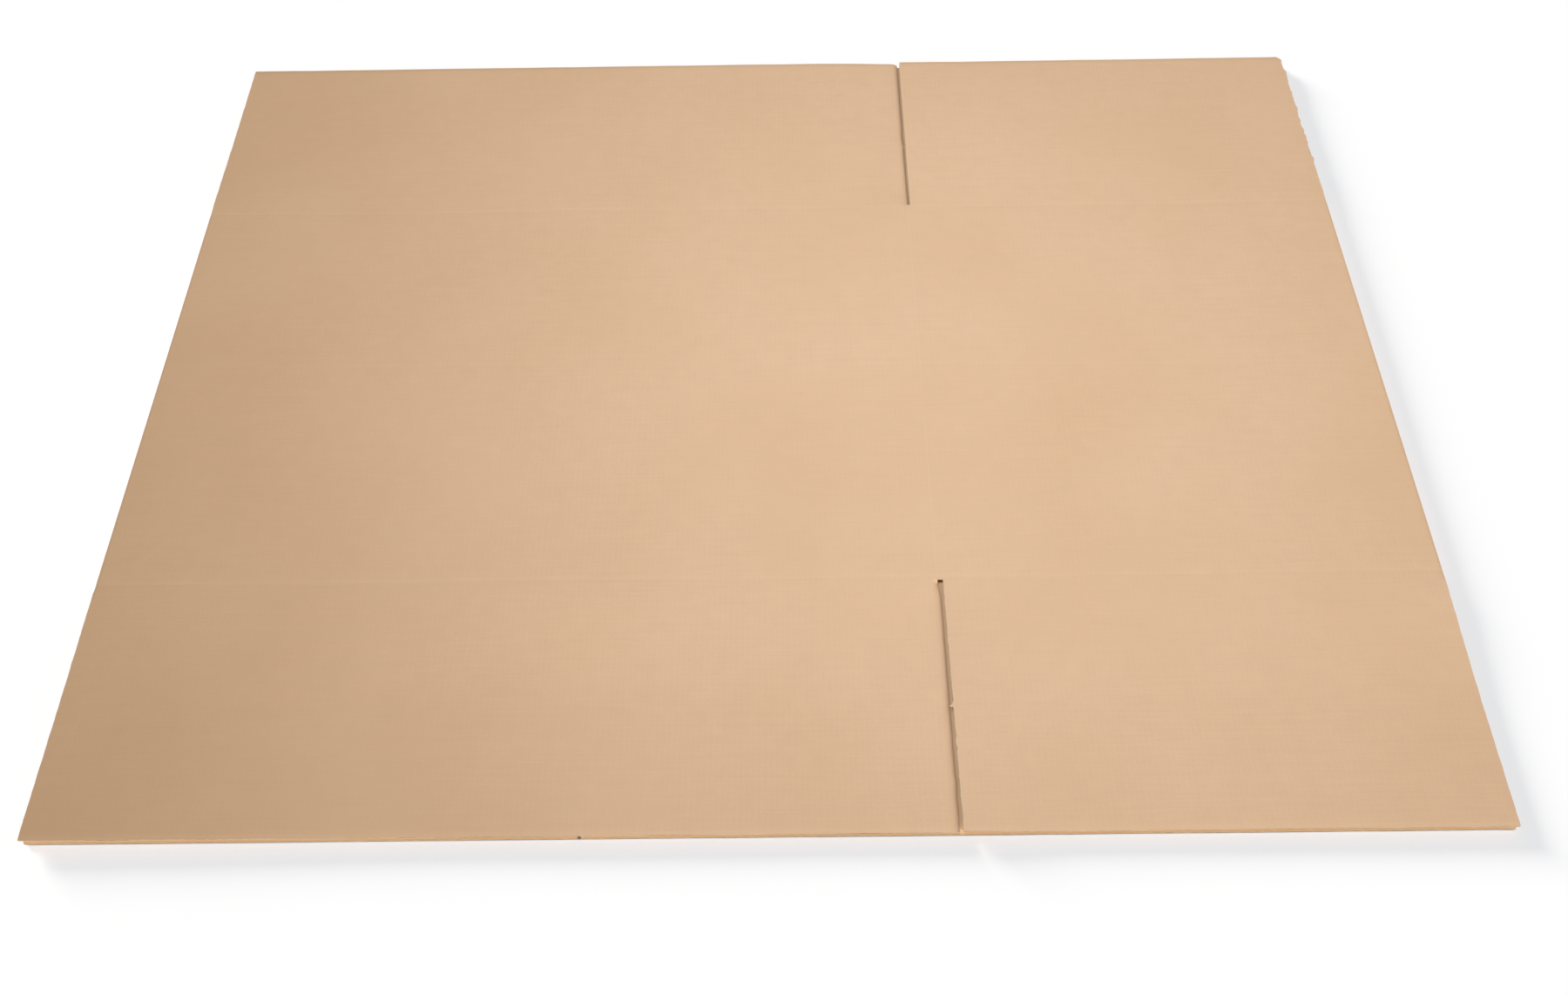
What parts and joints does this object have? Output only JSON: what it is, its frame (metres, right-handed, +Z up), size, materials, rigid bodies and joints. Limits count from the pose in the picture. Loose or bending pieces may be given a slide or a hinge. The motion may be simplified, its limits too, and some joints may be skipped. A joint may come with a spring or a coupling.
{
  "type": "flattened cardboard box",
  "caption": "Slotted corrugated cardboard box lying folded flat and glued along its joint, with creased flaps at both ends and slots between them.",
  "frame": {"origin": "middle of the underside's outline, on the surface that the flat box lies on", "axes": "+X across the panels, parallel to the flap creases; +Y along the flutes and the slots; +Z up, out of the layer without the glued joint"},
  "size_m": [0.94, 0.706, 0.0103],
  "materials": {
    "corrugated_board": "matt kraft paper, uncoated"
  },
  "bodies": {
    "root": {"flattened_box": "corrugated_board"}
  },
  "joints": []
}
